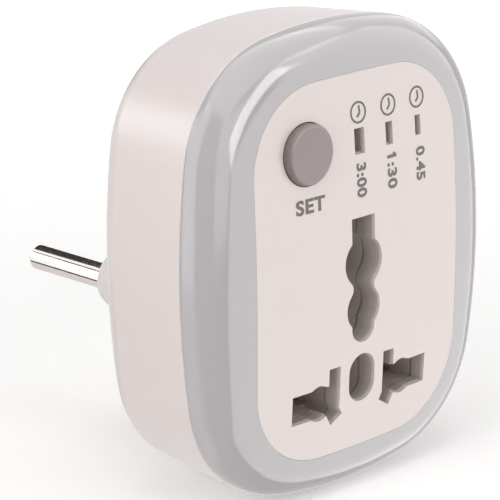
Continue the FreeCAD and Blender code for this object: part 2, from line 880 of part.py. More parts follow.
def make_wire(points):
    """Round wire through points given as x, depth and z, with an arc at each inner point."""
    p = [Vector(x, place(d), z) for x, d, z in points]
    edges = []
    start = p[0]
    for before, here, after in zip(p, p[1:], p[2:]):
        to_before = (before - here).normalize()
        to_after = (after - here).normalize()
        half_angle = to_before.getAngle(to_after) / 2
        back = wire_bend_radius / math.tan(half_angle)
        first = here + to_before * back
        last = here + to_after * back
        bisector = (to_before + to_after).normalize()
        middle = here + bisector * (wire_bend_radius / math.sin(half_angle) - wire_bend_radius)
        edges.append(Part.makeLine(start, first))
        edges.append(Part.Arc(first, middle, last).toShape())
        start = last
    edges.append(Part.makeLine(start, p[-1]))
    path = Part.Wire(edges)
    section = Part.Wire([Part.makeCircle(wire_radius, p[0], p[1] - p[0])])
    return path.makePipeShell([section], True, False)


def make_line_in_wire():
    """From the line pin's tail to the board beside the fuse."""
    knee = tail_end_depth - line_in_straight
    return make_wire([
        (line_x, tail_end_depth, 0),
        (line_x, knee, 0),
        (line_in_x, knee - line_in_rise_length, line_in_above_pins),
        (line_in_x, board_back_depth, line_in_above_pins),
    ])


def make_neutral_link_wire():
    """From the neutral pin's tail down to the neutral contact's tail."""
    return make_wire([
        (neutral_x, tail_end_depth, 0),
        (neutral_x, wire_lane_depth, 0),
        (neutral_x, wire_lane_depth, outlet_z + contact_tail_z),
    ])


def make_board_wire(side):
    """From a contact's tail up to the board, on one side."""
    x = side * board_wire_x
    return make_wire([
        (x, wire_lane_depth, outlet_z + contact_tail_z),
        (x, wire_lane_depth, board_wire_rise),
        (x, wire_lane_depth - board_wire_rise_length, board_wire_above_pins),
        (x, board_back_depth, board_wire_above_pins),
    ])


parts = {
    "rear_shell": make_rear_shell(),
    "bezel_ring": make_bezel_ring(),
    "face_plate": make_face_plate(),
    "front_cover": make_front_cover(),
    "socket_body": make_socket_body(),
    "socket_base": make_socket_base(),
    "neutral_contact": make_contact(),
    "line_contact": mirrored(make_contact()),
    "line_pin": make_pin(line_x),
    "neutral_pin": make_pin(neutral_x),
    "pin_clamp": make_pin_clamp(),
    "clamp_screw": make_clamp_screw(),
    "case_screws": make_case_screws(),
    "board_screws": make_board_screws(),
    "set_button": make_button(),
    "tact_switch": make_tact_switch(),
    "tact_plunger": make_tact_plunger(),
    "control_board": make_control_board(),
    "relay": boxed_part(relay_place, relay_size),
    "dropper_capacitor": boxed_part(dropper_place, dropper_size),
    "varistor": make_varistor(),
    "fuse": boxed_part(fuse_place, fuse_size),
    "smoothing_capacitor": make_smoothing_capacitor(),
    "bridge_rectifier": boxed_part(bridge_place, bridge_size),
    "controller_chip": make_chip(),
    "relay_transistor": make_transistor(),
    "resistors": make_resistors(),
    "line_in_wire": make_line_in_wire(),
    "neutral_link_wire": make_neutral_link_wire(),
    "line_out_wire": make_board_wire(-1),
    "neutral_board_wire": make_board_wire(1),
}
for lamp_name, lamp_x, _, _ in lamp_slots:
    parts[lamp_name] = make_lamp(lamp_x)

os.makedirs("parts", exist_ok=True)
for node, shape in parts.items():
    shape.exportStep(f"parts/{node}.step")
    print(node, len(shape.Solids), shape.isValid(), round(shape.Volume, 2))
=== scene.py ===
import math

import bmesh
import bpy
import numpy as np
from mathutils import Matrix, Vector


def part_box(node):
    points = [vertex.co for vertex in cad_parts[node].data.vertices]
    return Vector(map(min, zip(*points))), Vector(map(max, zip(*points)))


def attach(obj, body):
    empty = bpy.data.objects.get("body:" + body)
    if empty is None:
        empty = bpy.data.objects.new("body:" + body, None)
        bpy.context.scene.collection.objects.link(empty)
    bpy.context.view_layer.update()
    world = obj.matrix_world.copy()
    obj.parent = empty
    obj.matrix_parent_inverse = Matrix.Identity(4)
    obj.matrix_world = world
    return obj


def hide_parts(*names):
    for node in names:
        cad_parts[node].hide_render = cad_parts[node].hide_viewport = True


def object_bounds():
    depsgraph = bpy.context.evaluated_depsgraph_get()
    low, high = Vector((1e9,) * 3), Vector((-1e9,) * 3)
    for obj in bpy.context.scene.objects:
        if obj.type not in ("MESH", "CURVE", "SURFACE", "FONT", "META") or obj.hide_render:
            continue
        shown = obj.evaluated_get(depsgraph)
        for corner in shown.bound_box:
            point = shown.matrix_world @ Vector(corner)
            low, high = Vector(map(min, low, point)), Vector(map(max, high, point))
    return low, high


# A plug in timer switch in its studio. Lengths are written in millimetres and angles in
# degrees, and each piece comes in the order in which the real one is assembled.
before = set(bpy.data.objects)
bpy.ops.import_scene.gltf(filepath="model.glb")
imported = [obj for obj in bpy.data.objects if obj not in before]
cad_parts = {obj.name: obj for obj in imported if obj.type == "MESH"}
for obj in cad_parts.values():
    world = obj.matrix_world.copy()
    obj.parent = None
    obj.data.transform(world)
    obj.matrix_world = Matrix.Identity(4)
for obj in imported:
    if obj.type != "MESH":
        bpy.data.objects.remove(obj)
cad_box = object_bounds()


# Plug pins: brass rod, turned with a flange and a soldering tail, then plated with bright
# chrome. Each is pressed into the boss of the rear shell from inside.
MM = 0.001
pin_spacing = 19.0
# Radius and place along Y, from the end of the tail to where the rounded tip starts.
pin_profile = [
    (0.0, -20.0), (1.42, -20.0), (1.5, -19.92), (1.5, -12.55), (1.55, -12.5), (3.1, -12.5),
    (3.2, -12.4), (3.2, -11.1), (3.1, -11.0), (2.35, -11.0), (2.3, -10.95), (2.3, -0.08),
    (2.22, 0.0), (2.05, 0.0), (2.0, 0.05), (2.0, 17.3),
]
pin_length = 19.0
pin_radius = 2.0
pin_tip_radius = 1.7
pin_tip_steps = 12
pin_sides = 96
noise_detail = 3.0
noise_middle = (0.3, 0.7)
weld_distance = 0.0001
crease_angle = 35.0


def paint(tone):
    """Linear colour with full alpha, from a screen colour's red, green and blue, 0 to 255."""
    screen = np.array(tone) / 255
    linear = np.where(screen <= 0.04045, screen / 12.92, ((screen + 0.055) / 1.055) ** 2.4)
    return (*linear.tolist(), 1.0)


class Socket:
    """An output of a material's node. Sums and products on it add Math nodes."""

    def __init__(self, tree, output):
        self.tree = tree
        self.output = output

    def node(self, kind, settings, values, output=0):
        """Adds a node: its settings first, such as a Math node's operation, then its inputs."""
        made = self.tree.nodes.new("ShaderNode" + kind)
        for name, setting in settings.items():
            setattr(made, name, setting)
        for name, value in values.items():
            if isinstance(value, Socket):
                self.tree.links.new(value.output, made.inputs[name])
            else:
                made.inputs[name].default_value = value
        return Socket(self.tree, made.outputs[output])

    def math(self, operation, first, second):
        return self.node("Math", {"operation": operation}, {0: first, 1: second})

    def __add__(self, other):
        return self.math("ADD", self, other)

    def __mul__(self, other):
        return self.math("MULTIPLY", self, other)

    __radd__ = __add__
    __rmul__ = __mul__


def new_finish(name, constants):
    """A material with its shader's constant values set; gives it, the shader and Object places."""
    material = bpy.data.materials.new(name)
    material.use_nodes = True
    shader = material.node_tree.nodes["Principled BSDF"]
    for socket, value in constants.items():
        shader.inputs[socket].default_value = value
    places = material.node_tree.nodes.new("ShaderNodeTexCoord").outputs["Object"]
    return material, shader, Socket(material.node_tree, places)


def feed(shader, **values):
    """Links each worked out value into the shader's input of that name."""
    for name, value in values.items():
        value.tree.links.new(value.output, shader.inputs[name.replace("_", " ")])


def noise(places, size):
    """Noise from 0 to 1 whose lumps are about this many millimetres across."""
    values = {"Vector": places, "Scale": 1 / (size * MM), "Detail": noise_detail}
    return places.node("TexNoise", {}, values)


def drawn_lines(places, size, share):
    """Noise of this size across and size / share along Y, as drawing or rolling leaves it."""
    shrunk = places.node("Mapping", {}, {"Vector": places, "Scale": (1.0, share, 1.0)})
    return noise(shrunk, size)


def tint(factor, low, high):
    """A colour that goes from the low to the high tone as the factor goes from 0 to 1."""
    values = {0: factor, 6: paint(low), 7: paint(high)}
    return factor.node("Mix", {"data_type": "RGBA"}, values, output=2)


def spread(value, low, high, to_low, to_high):
    """The value's range low to high, carried over to another range and held inside it."""
    return value.node("MapRange", {}, {0: value, 1: low, 2: high, 3: to_low, 4: to_high})


def uneven(value, low, high):
    """Noise carried over to run from low to high where it mostly lies, in its middle range."""
    return spread(value, *noise_middle, low, high)


def bump(height, depth, strength=1.0):
    """Surface slope from a height that runs from 0 to 1, for a depth in millimetres."""
    return height.node("Bump", {}, {"Height": height, "Distance": depth * MM, "Strength": strength})


def add_object(name, data):
    """A new object in the scene that shows the data, at the origin."""
    made = bpy.data.objects.new(name, data)
    bpy.context.scene.collection.objects.link(made)
    return made


def closed_surface(name, rows, ring=False):
    """Skin over rows of points in millimetres. Each row is a closed loop joined to the next one.
    With ring the last row joins the first, and otherwise both end rows are shrunk to a point."""
    count, around = rows.shape[:2]
    index = np.arange(count * around).reshape(count, around)
    if ring:
        index = np.vstack([index, index[:1]])
    here, there = index[:-1], index[1:]
    quads = np.stack([here, np.roll(here, -1, 1), np.roll(there, -1, 1), there], axis=-1)
    mesh = bpy.data.meshes.new(name)
    mesh.from_pydata((rows.reshape(-1, 3) * MM).tolist(), [], quads.reshape(-1, 4).tolist())
    shell = bmesh.new()
    shell.from_mesh(mesh)
    bmesh.ops.remove_doubles(shell, verts=shell.verts, dist=weld_distance * MM)
    bmesh.ops.recalc_face_normals(shell, faces=shell.faces)
    shell.to_mesh(mesh)
    shell.free()
    mesh.shade_smooth()
    mesh.set_sharp_from_angle(angle=math.radians(crease_angle))
    return add_object(name, mesh)


def turned(profile, x, z, sides):
    """Rows of a turned form: each (radius, y) of the profile goes round the line along Y at x, z."""
    turn = np.linspace(0, 2 * np.pi, sides, endpoint=False)
    radius, y = np.array(profile, float).T[:, :, None]
    flat = np.zeros(sides)
    return np.stack([x + radius * np.cos(turn), y + flat, z + radius * np.sin(turn)], axis=-1)


def finish_piece(piece, material, body, slot, *nodes):
    """Coats a new piece, hangs it on the body that it rides on and hides the CAD nodes it stands for.
    The slot is not used.
    """
    piece.data.materials.clear()
    piece.data.materials.append(material)
    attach(piece, body)
    if nodes:
        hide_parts(*nodes)


chrome, shader, places = new_finish("pin_chrome", {"Metallic": 1.0, "IOR": 2.2})
drawn = drawn_lines(places, size=0.12, share=0.06)
feed(
    shader,
    Base_Color=tint(noise(places, 3.0), (242, 238, 234), (250, 247, 241)),
    Roughness=uneven(drawn, 0.07, 0.15),
    Normal=bump(drawn, 0.0012),
)
tip_rows = [
    (pin_radius - pin_tip_radius + pin_tip_radius * math.cos(turn),
     pin_length - pin_tip_radius + pin_tip_radius * math.sin(turn))
    for turn in np.radians(np.linspace(0, 90, pin_tip_steps))
]
for side, name in ((-1, "line_pin"), (1, "neutral_pin")):
    profile = pin_profile + tip_rows[1:] + [(0.0, pin_length)]
    pin = closed_surface(name + "_plated", turned(profile, side * pin_spacing / 2, 0, pin_sides))
    finish_piece(pin, chrome, "case", "pin_chrome", name)


# Rear shell: one moulding in glossy warm white plastic with its plug boss, posts and screw
# wells. Everything else is fixed inside it.
def coat(material, *nodes):
    """Gives CAD nodes a finish."""
    for name in nodes:
        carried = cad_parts[name]
        carried.data.materials.clear()
        carried.data.materials.append(material)


shell_plastic, shader, places = new_finish("shell_plastic", {"IOR": 1.48, "Roughness": 0.27})
feed(shader, Base_Color=tint(noise(places, 0.3), (228, 218, 216), (230, 220, 218)))
coat(shell_plastic, "rear_shell")


# Pin clamp and its screw: a grey moulded plate that holds the pins' flanges in the boss.
# The self tapping screw is zinc plated steel.
def uneven_finish(
    name, constants, tones, tone_size, roughness, roughness_size, bump_size, bump_depth
):
    """A material whose colour, roughness and surface each follow a noise of their own. Tones
    and roughness are pairs, from low to high, and sizes and depth are in millimetres."""
    material, shader, places = new_finish(name, constants)
    feed(
        shader,
        Base_Color=tint(noise(places, tone_size), *tones),
        Roughness=uneven(noise(places, roughness_size), *roughness),
        Normal=bump(noise(places, bump_size), bump_depth),
    )
    return material


socket_plastic = uneven_finish(
    "socket_plastic", {"IOR": 1.5}, tones=((200, 190, 186), (207, 197, 193)), tone_size=5.0,
    roughness=(0.4, 0.55), roughness_size=0.8, bump_size=0.3, bump_depth=0.01,
)
steel = uneven_finish(
    "zinc_steel", {"Metallic": 1.0}, tones=((196, 196, 192), (220, 217, 208)), tone_size=0.9,
    roughness=(0.24, 0.42), roughness_size=0.25, bump_size=0.2, bump_depth=0.006,
)
coat(socket_plastic, "pin_clamp")
coat(steel, "clamp_screw")


# Outlet: a grey moulding with the wells that the plug goes into, closed behind by a base.
# The spring contacts in it are stamped and folded from tinned brass strip.
coat(socket_plastic, "socket_body", "socket_base")

brass, shader, places = new_finish("contact_brass", {"Metallic": 1.0})
rolled = drawn_lines(places, size=0.15, share=0.1)
feed(
    shader,
    Base_Color=tint(noise(places, 1.6), (186, 150, 84), (214, 182, 118)),
    Roughness=uneven(rolled, 0.22, 0.4),
    Normal=bump(rolled, 0.004),
)
coat(brass, "line_contact", "neutral_contact")


# Control board: glass fibre laminate under green solder mask, with copper tracks that show
# through it. Four screws hold it on the shell's short posts.
track_pitch = 2.54
track_width = 0.35
track_length = 3 * track_pitch

board, shader, places = new_finish("solder_mask", {"IOR": 1.5})
upright = places.node("Mapping", {}, {"Vector": places, "Rotation": (math.radians(90), 0, 0)})
tracks = upright.node("TexBrick", {"offset": 0.5}, {
    "Vector": upright,
    "Color1": paint((12, 84, 46)), "Color2": paint((17, 95, 52)), "Mortar": paint((34, 124, 66)),
    "Scale": 1.0, "Mortar Size": track_width * MM, "Mortar Smooth": 0.1,
    "Brick Width": track_length * MM, "Row Height": track_pitch * MM,
})
copper = Socket(tracks.tree, tracks.output.node.outputs["Fac"])
feed(
    shader,
    Base_Color=tracks,
    Roughness=uneven(noise(places, 0.5), 0.22, 0.36),
    Normal=bump(copper, 0.03, 0.6),
)
coat(board, "control_board")
coat(steel, "board_screws")


# Relay, capacitors, varistor, fuse, bridge, chip, transistor and resistors: bought parts
# soldered to the back of the board, each in its own moulded, dipped or lacquered case.
roughness_range = 0.12
patch_per_lump = 4
case_lift = 9
can_stripe_edge = (0.9, 1.0)
band_half_pitch = 0.55
band_edge = (0.38, 0.42)
# Finish, tone, lowest roughness, size of its lumps, depth of its bumps, and its nodes.
dark_parts = [
    ("relay_case", (26, 27, 30), 0.22, 1.2, 0.012, ["relay"]),
    ("fuse_case", (34, 33, 34), 0.34, 0.6, 0.01, ["fuse"]),
    ("chip_epoxy", (30, 30, 31), 0.5, 0.18, 0.02,
     ["bridge_rectifier", "controller_chip", "relay_transistor"]),
    ("film_box", (168, 38, 30), 0.26, 1.4, 0.01, ["dropper_capacitor"]),
    ("dipped_blue", (28, 74, 150), 0.3, 0.9, 0.05, ["varistor"]),
]


def lifted(tone, step):
    """The tone with the step added to its three values, which makes it lighter or darker."""
    return tuple(value + step for value in tone)


for name, tone, polish, lump, depth, nodes in dark_parts:
    case = uneven_finish(
        name, {"IOR": 1.5}, tones=(tone, lifted(tone, case_lift)), tone_size=lump * patch_per_lump,
        roughness=(polish, polish + roughness_range), roughness_size=lump,
        bump_size=lump, bump_depth=depth,
    )
    coat(case, *nodes)

sleeve, shader, places = new_finish("can_sleeve", {"IOR": 1.5})
split = places.node("SeparateXYZ", {}, {0: places})
can_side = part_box("smoothing_capacitor")[0].x
stripe = spread(split, *(can_side + edge * MM for edge in can_stripe_edge), 1.0, 0.0)
feed(
    shader,
    Base_Color=tint(stripe, (24, 26, 32), (186, 188, 186)),
    Roughness=uneven(noise(places, 0.7), 0.24, 0.36),
    Normal=bump(noise(places, 1.1), 0.012),
)
coat(sleeve, "smoothing_capacitor")

lacquer, shader, places = new_finish("resistor_lacquer", {"IOR": 1.5})
height = places.node("SeparateXYZ", {}, {0: places}, output=2)
wave = height.math("PINGPONG", height, band_half_pitch * MM)
band = spread(wave, *(edge * MM for edge in band_edge), 0.0, 1.0)
feed(
    shader,
    Base_Color=tint(band, (206, 176, 128), (122, 48, 26)),
    Roughness=uneven(noise(places, 0.4), 0.2, 0.34),
    Normal=bump(noise(places, 0.5), 0.01),
)
coat(lacquer, "resistors")


# Wires: stranded copper in PVC insulation, brown for line and blue for neutral, soldered at
# both ends.
wire_lift = 12

for name, tone, nodes in (
    ("brown_insulation", (98, 54, 34), ["line_in_wire", "line_out_wire"]),
    ("blue_insulation", (34, 82, 158), ["neutral_link_wire", "neutral_board_wire"]),
):
    insulation = uneven_finish(
        name, {"IOR": 1.5}, tones=(tone, lifted(tone, wire_lift)), tone_size=2.2,
        roughness=(0.32, 0.46), roughness_size=0.6, bump_size=0.5, bump_depth=0.012,
    )
    coat(insulation, *nodes)


# Front cover: a grey moulded plate behind the face plate. Its screw bosses reach back to
# the rear shell's posts.
cover_plastic = uneven_finish(
    "cover_plastic", {"IOR": 1.5}, tones=((190, 181, 178), (198, 189, 185)), tone_size=6.0,
    roughness=(0.38, 0.52), roughness_size=0.9, bump_size=0.3, bump_depth=0.01,
)
coat(cover_plastic, "front_cover")


# Lamps: three water clear light emitting diodes, moulded in epoxy. They stand on the board,
# one behind each time slot.
lens = uneven_finish(
    "lamp_lens", {"IOR": 1.52, "Transmission Weight": 0.85},
    tones=((226, 224, 214), (238, 237, 230)), tone_size=1.0,
    roughness=(0.06, 0.14), roughness_size=0.5, bump_size=0.8, bump_depth=0.004,
)
coat(lens, "led_long", "led_middle", "led_short")


# Button and the switch under it: the button is a satin grey moulding that slides in the
# cover. Its stem pushes the black plunger of a six millimetre push switch.
button_plastic = uneven_finish(
    "button_plastic", {"IOR": 1.48}, tones=((121, 107, 106), (127, 113, 111)), tone_size=4.0,
    roughness=(0.36, 0.42), roughness_size=0.7, bump_size=0.22, bump_depth=0.004,
)
coat(button_plastic, "set_button")

switch_plastic = uneven_finish(
    "switch_plastic", {"IOR": 1.5}, tones=((28, 28, 29), (40, 40, 41)), tone_size=1.8,
    roughness=(0.34, 0.48), roughness_size=0.5, bump_size=0.25, bump_depth=0.01,
)
coat(switch_plastic, "tact_switch", "tact_plunger")


# Bezel ring: a glossy cool grey moulding round the face. It is pushed on the rear shell with
# its tongue, and the front cover's rim holds it there.
case_centre_above_pins = 9.9
boss_end_depth = 46.5
# Width, height, and the radii of the sides, the ends and the corners.
case_outline = (59.8, 72.0, 127.0, 74.0, 19.4)
plate_outline = (42.9, 57.9, 900.0, 316.0, 13.0)
arc_steps = 32
seam_depth = 8.0
seam_round = 0.15
seam_steps = 5
wall_shares = (0.35, 0.7)
face_radius = 290.0
shoulder_radius = 5.4
shoulder_steps = 26
band_steps = 8
plate_edge_gap = 0.04
ledge_depth = 4.4
ledge_back = 5.9
ledge_width = 1.5
bezel_wall = 2.2
tongue_outer = 2.48
tongue_inner = 3.68
tongue_back = 10.6
post_x = 14.5
post_z = 27.6
pocket_radius = 2.95
pocket_front = 3.6
pocket_overshoot = 1.0
pocket_sides = 48


def outline_ring(outline, inset):
    """Points of the closed outline of eight tangent arcs, drawn in by the inset. A corner's
    centre is where its distances from the side's and the end's centres leave it tangent to both."""
    width, height, side_radius, end_radius, corner_radius = outline
    side_centre = width / 2 - side_radius
    end_centre = height / 2 - end_radius
    to_side = side_radius - corner_radius
    to_end = end_radius - corner_radius
    gap = math.hypot(side_centre, end_centre)
    along = (to_side ** 2 - to_end ** 2 + gap ** 2) / (2 * gap)
    across = math.sqrt(to_side ** 2 - along ** 2)
    ux, uz = -side_centre / gap, end_centre / gap
    cx = side_centre + along * ux + across * uz
    cz = along * uz - across * ux
    if cx < 0 or cz < 0:
        cx = side_centre + along * ux - across * uz
        cz = along * uz + across * ux
    side_turn = math.atan2(cz, cx - side_centre)
    end_turn = math.atan2(cz - end_centre, cx)
    half = math.pi
    arcs = [
        (side_centre, 0, side_radius, -side_turn, side_turn),
        (cx, cz, corner_radius, side_turn, end_turn),
        (0, end_centre, end_radius, end_turn, half - end_turn),
        (-cx, cz, corner_radius, half - end_turn, half - side_turn),
        (-side_centre, 0, side_radius, half - side_turn, half + side_turn),
        (-cx, -cz, corner_radius, half + side_turn, half + end_turn),
        (0, -end_centre, end_radius, half + end_turn, 2 * half - end_turn),
        (cx, -cz, corner_radius, 2 * half - end_turn, 2 * half - side_turn),
    ]
    share = np.arange(arc_steps) / arc_steps
    turns = [start + share * (end - start) for _, _, _, start, end in arcs]
    xs = [x + (radius - inset) * np.cos(turn) for (x, _, radius, _, _), turn in zip(arcs, turns)]
    zs = [z + (radius - inset) * np.sin(turn) for (_, z, radius, _, _), turn in zip(arcs, turns)]
    return np.stack([np.concatenate(xs), np.concatenate(zs)], axis=-1)


def at_depth(flat, depth):
    """Points in the part's frame from outline points round the case's centre and their depth."""
    depth = np.broadcast_to(depth, flat.shape[:-1])
    return np.stack(
        [flat[..., 0], depth - boss_end_depth, flat[..., 1] + case_centre_above_pins], axis=-1
    )


def face_depth(flat):
    """Depth of the domed face: a ball's surface, counted from its crown."""
    return face_radius - np.sqrt(face_radius ** 2 - (flat ** 2).sum(-1))


def bezel_rows():
    """Rows of the bezel's closed section, carried round the case. The shoulder is the path of a
    ball that touches both the wall and the domed face, and the front band follows the face."""
    rows = []
    for turn in np.radians(np.linspace(90, 0, seam_steps)):
        inset = seam_round - seam_round * math.cos(turn)
        depth = seam_depth - seam_round * (1 - math.sin(turn))
        rows.append(at_depth(outline_ring(case_outline, inset), depth))
    ball = outline_ring(case_outline, shoulder_radius)
    wall = outline_ring(case_outline, 0)
    ball_reach = face_radius - shoulder_radius
    ball_depth = face_radius - np.sqrt(ball_reach ** 2 - (ball ** 2).sum(-1))
    for share in wall_shares:
        depth = (seam_depth - seam_round) * (1 - share) + ball_depth * share
        rows.append(at_depth(wall, depth))
    sideways = (wall - ball) / shoulder_radius
    start = np.stack([sideways[:, 0], np.zeros(len(ball)), sideways[:, 1]], axis=-1)
    end = np.stack([ball[:, 0], ball_depth - face_radius, ball[:, 1]], axis=-1) / ball_reach
    angle = np.arccos((start * end).sum(-1))[:, None]
    middle = at_depth(ball, ball_depth)
    for share in np.linspace(0, 1, shoulder_steps):
        swing = (np.sin((1 - share) * angle) * start + np.sin(share * angle) * end) / np.sin(angle)
        rows.append(middle + shoulder_radius * swing)
    shoulder_end = rows[-1][:, [0, 2]] - [0, case_centre_above_pins]
    plate_edge = outline_ring(plate_outline, -plate_edge_gap)
    for share in np.linspace(0, 1, band_steps)[1:]:
        band = shoulder_end * (1 - share) + plate_edge * share
        rows.append(at_depth(band, face_depth(band)))
    for outline, inset, depth in (
        (plate_outline, -plate_edge_gap, ledge_depth),
        (plate_outline, ledge_width, ledge_depth),
        (plate_outline, ledge_width, ledge_back),
        (case_outline, tongue_inner, ledge_back),
        (case_outline, tongue_inner, tongue_back),
        (case_outline, tongue_outer, tongue_back),
        (case_outline, tongue_outer, ledge_back),
        (case_outline, bezel_wall, ledge_back),
        (case_outline, bezel_wall, seam_depth),
    ):
        rows.append(at_depth(outline_ring(outline, inset), depth))
    return np.array(rows)


def final_mesh(carrier):
    """A mesh of its own that looks as the object does, with its modifiers or its text applied."""
    bpy.context.view_layer.update()
    seen = carrier.evaluated_get(bpy.context.evaluated_depsgraph_get())
    return bpy.data.meshes.new_from_object(seen)


def cut_by(piece, cutters):
    """Takes the cutters out of the piece, keeps the result as its mesh and removes them."""
    for cutter in cutters:
        cut = piece.modifiers.new("pocket", "BOOLEAN")
        cut.operation = "DIFFERENCE"
        cut.solver = "EXACT"
        cut.object = cutter
    result = final_mesh(piece)
    piece.modifiers.clear()
    piece.data = result
    for cutter in cutters:
        bpy.data.objects.remove(cutter)


bezel_plastic = uneven_finish(
    "bezel_plastic", {"IOR": 1.5}, tones=((184, 179, 181), (188, 183, 185)), tone_size=12.0,
    roughness=(0.1, 0.16), roughness_size=1.1, bump_size=3.0, bump_depth=0.003,
)
bezel = closed_surface("bezel_moulding", bezel_rows(), ring=True)
front, back = pocket_front - boss_end_depth, tongue_back + pocket_overshoot - boss_end_depth
pocket_profile = [(0, front), (pocket_radius, front), (pocket_radius, back), (0, back)]
pockets = []
for x in (-post_x, post_x):
    for z in (case_centre_above_pins - post_z, case_centre_above_pins + post_z):
        pockets.append(closed_surface("pocket", turned(pocket_profile, x, z, pocket_sides)))
cut_by(bezel, pockets)
finish_piece(bezel, bezel_plastic, "case", "bezel_pearl", "bezel_ring")


# Face plate: a thin domed plate in satin cream plastic, glued into the bezel. The outlet's
# openings, the button's hole and the three time slots are punched in it.
plate_plastic = uneven_finish(
    "plate_plastic", {"IOR": 1.47}, tones=((223, 211, 208), (226, 215, 211)), tone_size=10.0,
    roughness=(0.34, 0.44), roughness_size=0.9, bump_size=0.25, bump_depth=0.003,
)
coat(plate_plastic, "face_plate")


# Print on the face: warm grey pad printing ink, a clock sign and a time for each slot, and
# the word SET under the button.
ink_thickness = 0.03
clock_places = [(-0.17, 32.87), (6.31, 32.87), (12.79, 32.87)]
clock_radius = 1.51
clock_stroke = 0.33
clock_sides = 64
hand_stroke = 0.36
hand_steps = 6
hand_joint = (0.3, -0.12)
hand_ends = [(0.18, 1.0), (-0.3, -0.68)]
letter_boldness = 0.034
letter_spacing = 1.08
letter_steps = 6
letter_block = 0.5
one_flag = [(7.51, 24.98), (6.94, 25.55)]
one_flag_width = 0.42
one_flag_steps = 4
# Piece, text, its range of x and of z, and whether it reads downwards.
words = [
    ("print_set", "SET", (-13.65, -7.85), (19.8, 22.1), False),
    ("print_long", "3:00", (-1.13, 0.93), (20.1, 25.3), True),
    ("print_middle", "1:30", (5.57, 7.63), (20.1, 25.3), True),
    ("print_short", "0.45", (12.07, 14.13), (20.1, 25.3), True),
]

ink, shader, places = new_finish("face_ink", {"IOR": 1.45})
feed(
    shader,
    Base_Color=tint(noise(places, 0.5), (77, 67, 65), (84, 74, 71)),
    Roughness=uneven(noise(places, 0.2), 0.5, 0.65),
)


def on_face(flat, proud):
    """Points in the part's frame for x, z places on the face, standing proud of it."""
    round_centre = flat - [0, case_centre_above_pins]
    return at_depth(round_centre, face_depth(round_centre) - proud)


def stroke(name, path, width, closed):
    """Printed line: a flat section of ink carried along a path of x, z points."""
    if closed:
        ahead = np.roll(path, -1, 0) - np.roll(path, 1, 0)
    else:
        ahead = np.gradient(path, axis=0)
    ahead = ahead / np.linalg.norm(ahead, axis=1)[:, None]
    side = np.stack([-ahead[:, 1], ahead[:, 0]], axis=-1) * width / 2
    corners = [(1, 0.0), (1, ink_thickness), (-1, ink_thickness), (-1, 0.0)]
    rows = np.stack([on_face(path + sign * side, proud) for sign, proud in corners], axis=1)
    if not closed:
        caps = rows.mean(1, keepdims=True).repeat(len(corners), axis=1)
        rows = np.concatenate([caps[:1], rows, caps[-1:]])
    return closed_surface(name, rows, ring=closed)


for number, (x, z) in enumerate(clock_places):
    turn = np.linspace(0, 2 * np.pi, clock_sides, endpoint=False)
    rim = np.stack([x + clock_radius * np.cos(turn), z + clock_radius * np.sin(turn)], axis=-1)
    marks = [stroke(f"clock_rim_{number}", rim, clock_stroke, True)]
    for part, hand_end in enumerate(hand_ends):
        share = np.linspace(0, 1, hand_steps)[:, None]
        hand = np.array([x, z]) + (1 - share) * hand_joint + share * hand_end
        marks.append(stroke(f"clock_hand_{number}_{part}", hand, hand_stroke, False))
    for mark in marks:
        finish_piece(mark, ink, "case", "plate_cream")


def printed_word(name, text, x_range, z_range, turned_down):
    """A word as a thin mesh: its letters, as a block of any thickness, are stretched to their
    place and the ink's thickness, turned a quarter if they read downwards, and laid on the face."""
    curve = bpy.data.curves.new(name, "FONT")
    curve.body = text
    curve.extrude = letter_block
    curve.offset = letter_boldness
    curve.space_character = letter_spacing
    curve.resolution_u = letter_steps
    carrier = add_object(name, curve)
    mesh = final_mesh(carrier)
    bpy.data.objects.remove(carrier)
    flat = np.zeros(len(mesh.vertices) * 3)
    mesh.vertices.foreach_get("co", flat)
    flat = flat.reshape(-1, 3)
    low, high = flat.min(0), flat.max(0)
    share = (flat - low) / (high - low)
    if turned_down:
        x = x_range[0] + share[:, 1] * (x_range[1] - x_range[0])
        z = z_range[1] - share[:, 0] * (z_range[1] - z_range[0])
    else:
        x = x_range[0] + share[:, 0] * (x_range[1] - x_range[0])
        z = z_range[0] + share[:, 1] * (z_range[1] - z_range[0])
    laid = on_face(np.stack([x, z], axis=-1), share[:, 2] * ink_thickness)
    mesh.vertices.foreach_set("co", (laid * MM).ravel())
    mesh.update()
    return add_object(name, mesh)


for name, text, x_range, z_range, turned_down in words:
    finish_piece(printed_word(name, text, x_range, z_range, turned_down), ink, "case", "plate_cream")
flag_line = np.linspace(*one_flag, one_flag_steps)
flag = stroke("print_middle_flag", flag_line, one_flag_width, False)
finish_piece(flag, ink, "case", "plate_cream")


# Case screws: four zinc plated self tapping screws, driven from behind through the rear
# shell's wells into the front cover's bosses.
coat(steel, "case_screws")


# Studio: a pale floor under the case and a white world round it. The floor glows a little
# where it is seen, more so further off, which gives the photograph's white background.
floor_gap = 0.05
floor_half = 3000.0
glow_reach = (60.0, 420.0)
glow_strength = (0.3, 0.75)
world_light = 0.4
world_seen = 1.0
white = (1, 1, 1, 1)


def shown_rays(tree):
    """1 for a ray from the camera, straight, by a reflection or through glass, and otherwise 0."""
    rays = tree.nodes.new("ShaderNodeLightPath")
    shown = Socket(tree, rays.outputs["Is Camera Ray"])
    shown = shown + Socket(tree, rays.outputs["Is Glossy Ray"])
    return shown + Socket(tree, rays.outputs["Is Transmission Ray"])


